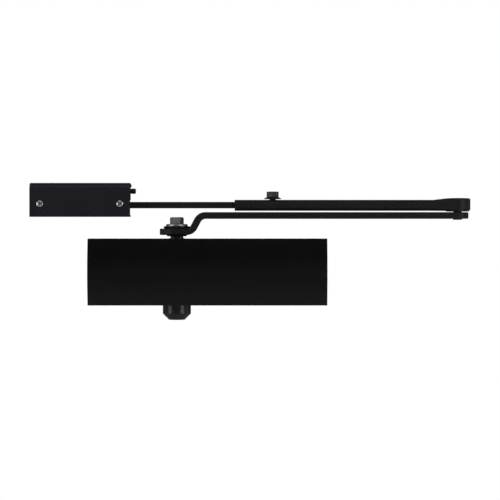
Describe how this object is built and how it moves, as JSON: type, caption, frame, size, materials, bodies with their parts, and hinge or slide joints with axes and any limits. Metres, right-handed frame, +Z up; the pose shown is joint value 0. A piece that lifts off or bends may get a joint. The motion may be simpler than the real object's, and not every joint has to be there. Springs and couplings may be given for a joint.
{
  "type": "door closer",
  "caption": "Rack-and-pinion door closer: covered hydraulic body, main arm with an S-bend, telescoping forearm and soffit bracket.",
  "frame": {"origin": "centre of the four door fixing holes, on the closer body's door face", "axes": "+X along the door towards the elbow, +Y into the door, +Z up; the arms are folded parallel to the door"},
  "size_m": [0.4374, 0.05, 0.136],
  "materials": {
    "cast_alloy": "as cast, lightly blasted",
    "satin_black_cover": "matte black powder coat",
    "bright_steel": "bright zinc plate",
    "zinc_steel": "zinc plate",
    "seal_rubber": "matte",
    "bronze": "machined",
    "cap_plastic": "satin black moulding",
    "spring_steel": "oiled spring steel",
    "spindle_steel": "hardened, oiled",
    "ground_steel": "ground",
    "black_arm": "satin black paint",
    "black_washer": "blackened steel",
    "dark_zinc": "dark zinc plate",
    "nylon": "moulded",
    "black_bolt": "black oxide",
    "black_bracket": "satin black powder coat"
  },
  "bodies": {
    "closer_body": {"housing": "cast_alloy", "cover": "satin_black_cover", "cover_screws": "bright_steel", "left_end_plug": "zinc_steel", "right_end_plug": "zinc_steel", "end_plug_seals": "seal_rubber", "upper_bush": "bronze", "lower_bush": "bronze", "upper_gland": "zinc_steel", "lower_gland": "zinc_steel", "spindle_seals": "seal_rubber", "pinion_cap": "cap_plastic", "closer_spring": "spring_steel"},
    "spindle_arm": {"pinion_spindle": "spindle_steel", "main_arm": "black_arm", "arm_lock_washer": "black_washer", "arm_washer": "dark_zinc", "arm_bolt": "dark_zinc", "elbow_pin": "black_arm"},
    "piston_body": {"piston": "ground_steel", "valve_ball_retainer": "bronze"},
    "valve_ball": {"check_ball": "ground_steel"},
    "sweep_needle": {"sweep_valve": "bronze", "sweep_valve_seal": "seal_rubber"},
    "latch_needle": {"latch_valve": "bronze", "latch_valve_seal": "seal_rubber"},
    "backcheck_needle": {"backcheck_valve": "bronze", "backcheck_valve_seal": "seal_rubber"},
    "forearm": {"forearm_tube": "black_arm", "elbow_bush": "bronze", "elbow_washer": "nylon", "elbow_cap": "cap_plastic"},
    "clamp": {"clamp_bolt": "black_bolt"},
    "rod": {"forearm_rod": "black_arm", "pivot_spindle": "zinc_steel", "pivot_washer": "nylon", "pivot_nut": "zinc_steel"},
    "bracket": {"bracket_plate": "black_bracket", "bracket_cover": "black_bracket", "pivot_block": "cast_alloy", "block_screws": "bright_steel", "bracket_cover_screws": "bright_steel", "friction_pad": "bronze"},
    "adjuster": {"friction_screw": "black_bolt"}
  },
  "joints": [
    {"name": "spindle_turn", "type": "hinge", "parent": "closer_body", "child": "spindle_arm", "pos_m": [-0.0312, -0.022, 0], "axis": [0, 0, 1], "range_deg": [-180, 0], "stiffness_Nm_per_rad": 3, "springref_deg": 126.05},
    {"name": "piston_slide", "type": "slide", "parent": "closer_body", "child": "piston_body", "axis": [1, 0, 0], "range_m": [0, 0.0285], "deforming": ["closer_spring"]},
    {"name": "check_ball_lift", "type": "slide", "parent": "piston_body", "child": "valve_ball", "axis": [1, 0, 0], "range_m": [-0.0007, 0]},
    {"name": "sweep_turn", "type": "hinge", "parent": "closer_body", "child": "sweep_needle", "pos_m": [-0.114, -0.0393, 0.0173], "axis": [1, 0, 0], "range_deg": [-180, 180]},
    {"name": "latch_turn", "type": "hinge", "parent": "closer_body", "child": "latch_needle", "pos_m": [-0.114, -0.0393, -0.0173], "axis": [1, 0, 0], "range_deg": [-180, 180]},
    {"name": "backcheck_turn", "type": "hinge", "parent": "closer_body", "child": "backcheck_needle", "pos_m": [-0.114, -0.0047, 0.0173], "axis": [1, 0, 0], "range_deg": [-180, 180]},
    {"name": "elbow", "type": "hinge", "parent": "spindle_arm", "child": "forearm", "pos_m": [0.2493, -0.022, 0.066], "axis": [0, 0, 1], "range_deg": [-170, 170]},
    {"name": "clamp_turn", "type": "hinge", "parent": "forearm", "child": "clamp", "pos_m": [0.0645, -0.022, 0.072], "axis": [0, 0, 1], "range_deg": [-180, 180]},
    {"name": "rod_slide", "type": "slide", "parent": "forearm", "child": "rod", "axis": [1, 0, 0], "range_m": [-0.06, 0.03]},
    {"name": "bracket_pivot", "type": "hinge", "parent": "rod", "child": "bracket", "pos_m": [-0.1257, -0.022, 0.075], "axis": [0, 0, 1], "range_deg": [-150, 8]},
    {"name": "friction_screw_turn", "type": "hinge", "parent": "bracket", "child": "adjuster", "pos_m": [-0.09, -0.022, 0.08045], "axis": [1, 0, 0], "range_deg": [-180, 180]}
  ],
  "couplings": [
    {"joint": "piston_slide", "follows": "spindle_turn", "m_per_rad": -0.009}
  ]
}
